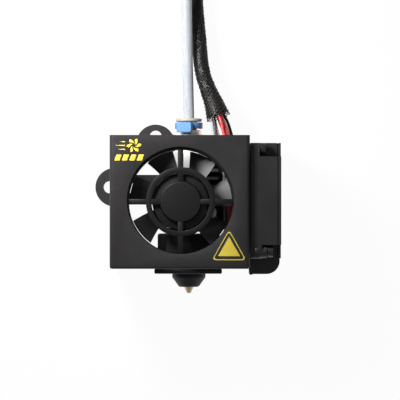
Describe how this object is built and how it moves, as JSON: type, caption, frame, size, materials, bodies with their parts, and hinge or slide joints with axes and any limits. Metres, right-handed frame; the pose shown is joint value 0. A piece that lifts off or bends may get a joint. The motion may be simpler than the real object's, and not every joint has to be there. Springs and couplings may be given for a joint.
{
  "type": "3d printer hotend assembly",
  "caption": "Fan-cooled 3-D printer hotend with a sheet-metal shroud, side blower, finned heatsink, heated nozzle, tube coupler and braided lead.",
  "frame": {"origin": "on the back plate's rear face, under the nozzle's axis and level with the fan's opening", "axes": "+X right, +Y from the nozzle towards the tube and lead, +Z from the back plate out through the fan; the nozzle points along -Y"},
  "size_m": [0.0988, 0.1894, 0.044],
  "materials": {
    "powder_coat": "satin powder coat",
    "black_plastic": "moulded satin",
    "fan_black": "semi-gloss moulded",
    "steel": "zinc-plated",
    "black_steel": "black oxide",
    "nickel": "nickel plate",
    "brass": "turned brass",
    "anodised": "dark anodised",
    "aluminium": "machined",
    "copper": "enamelled winding",
    "silicone": "matt silicone",
    "blue_plastic": "moulded",
    "cream_plastic": "moulded",
    "ptfe": "waxy translucent",
    "braid": "braided sleeve",
    "red_wire": "silicone insulation",
    "black_wire": "insulation",
    "white_wire": "insulation",
    "magnet": "bonded ferrite",
    "board": "solder mask",
    "yellow_print": "screen-printed ink"
  },
  "bodies": {
    "hotend_body": {"axial_fan_bearing": "brass", "axial_fan_frame": "fan_black", "axial_fan_pcb": "board", "axial_fan_plug": "cream_plastic", "axial_fan_stator": "copper", "back_plate": "powder_coat", "block_screw_1": "steel", "block_screw_2": "steel", "blower_bearing": "brass", "blower_cover": "black_plastic", "blower_duct": "black_plastic", "blower_housing": "black_plastic", "blower_plug": "cream_plastic", "blower_screw_lower": "black_steel", "blower_screw_rear": "black_steel", "blower_screw_upper": "black_steel", "blower_stator": "copper", "blower_wire_black": "black_wire", "blower_wire_red": "red_wire", "coil_tie_1": "black_plastic", "coil_tie_2": "black_plastic", "coupler_body": "nickel", "fan_nut_1": "steel", "fan_nut_2": "steel", "fan_nut_3": "steel", "fan_nut_4": "steel", "fan_shroud": "powder_coat", "fan_wire_black": "black_wire", "fan_wire_red": "red_wire", "filament_tube": "ptfe", "filament_tube_coil": "ptfe", "filament_tube_seated_end": "ptfe", "harness_coil": "braid", "harness_sleeve": "braid", "heat_break": "steel", "heater_block": "aluminium", "heater_cartridge": "steel", "heater_ferrule_1": "steel", "heater_ferrule_2": "steel", "heater_set_screw": "black_steel", "heater_wire_1": "red_wire", "heater_wire_2": "red_wire", "heatsink": "anodised", "heatsink_screw_1": "steel", "heatsink_screw_2": "steel", "nozzle": "brass", "shroud_screw": "black_steel", "silicone_sock": "silicone", "thermistor": "steel", "thermistor_plug": "cream_plastic", "thermistor_screw": "steel", "thermistor_wire_1": "white_wire", "thermistor_wire_2": "white_wire"},
    "axial_rotor": {"axial_fan_rotor": "fan_black", "axial_fan_magnet_ring": "magnet", "axial_fan_shaft": "steel"},
    "blower_rotor": {"blower_impeller": "fan_black", "blower_shaft": "steel"},
    "clip": {"coupler_clip": "blue_plastic"},
    "collet": {"coupler_collet": "cream_plastic"}
  },
  "joints": [
    {"name": "axial_fan_spin", "type": "hinge", "parent": "hotend_body", "child": "axial_rotor", "pos_m": [-0.0028, -0.0005, 0.037], "axis": [0, 0, 1], "continuous": true},
    {"name": "blower_spin", "type": "hinge", "parent": "hotend_body", "child": "blower_rotor", "pos_m": [0.026, 0.0016, 0.022], "axis": [1, 0, 0], "continuous": true},
    {"name": "clip_pull", "type": "slide", "parent": "collet", "child": "clip", "axis": [-0.2377, 0, 0.9713], "range_m": [0, 0.018]},
    {"name": "collet_press", "type": "slide", "parent": "hotend_body", "child": "collet", "axis": [0, -1, 0], "range_m": [0, 0.0002]}
  ]
}
